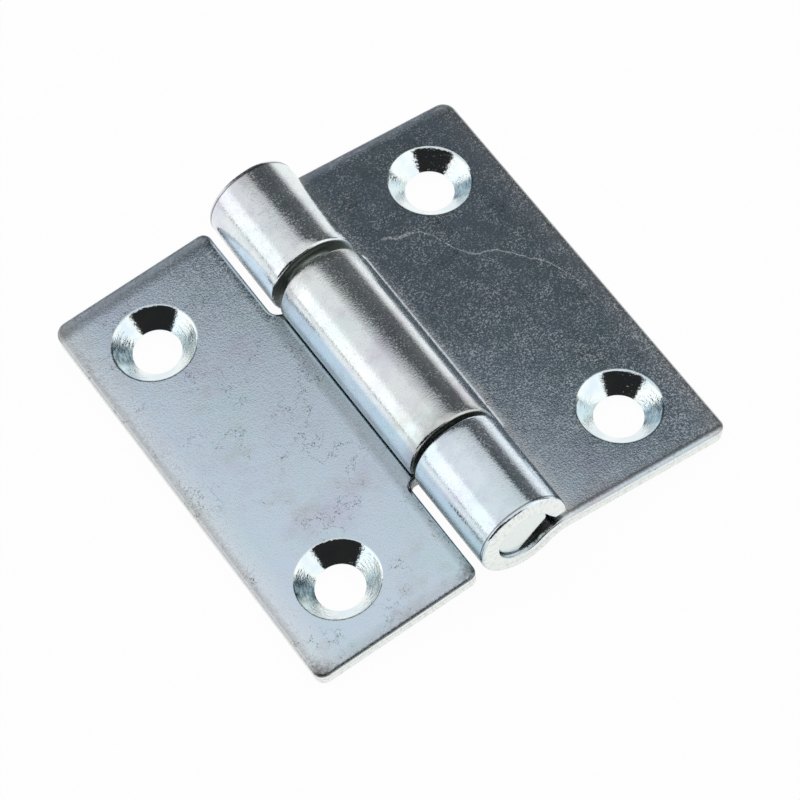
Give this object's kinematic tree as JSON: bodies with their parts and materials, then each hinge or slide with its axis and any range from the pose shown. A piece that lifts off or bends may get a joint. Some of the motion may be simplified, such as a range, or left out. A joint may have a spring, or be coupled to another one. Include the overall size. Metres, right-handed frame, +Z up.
{
  "type": "loose pin butt hinge",
  "caption": "Butt hinge of rolled sheet steel: flat leaves with countersunk screw holes fold about a loose, headless pin through interleaved knuckles.",
  "frame": {"origin": "on the pin's axis, midway along the barrel", "axes": "+Y along the pin, +X towards the leaf with two knuckles, +Z up from the surface on which the hinge lies open on its back"},
  "size_m": [0.0492, 0.05, 0.01],
  "materials": {
    "leaf_plating": "bright zinc plated sheet steel with a fine orange-peel grain",
    "pin_steel": "bright zinc plated drawn wire"
  },
  "bodies": {
    "leaf_two_knuckle": {"leaf_two_knuckle": "leaf_plating"},
    "leaf_one_knuckle": {"leaf_one_knuckle": "leaf_plating"},
    "hinge_pin": {"hinge_pin": "pin_steel"}
  },
  "joints": [
    {"name": "leaf_swing", "type": "hinge", "parent": "leaf_two_knuckle", "child": "leaf_one_knuckle", "pos_m": [0, 0, 0], "axis": [0, 1, 0], "range_deg": [-112, 193.5]},
    {"name": "pin_slide", "type": "slide", "parent": "leaf_two_knuckle", "child": "hinge_pin", "axis": [0, 1, 0], "range_m": [-0.05, 0.05]}
  ]
}
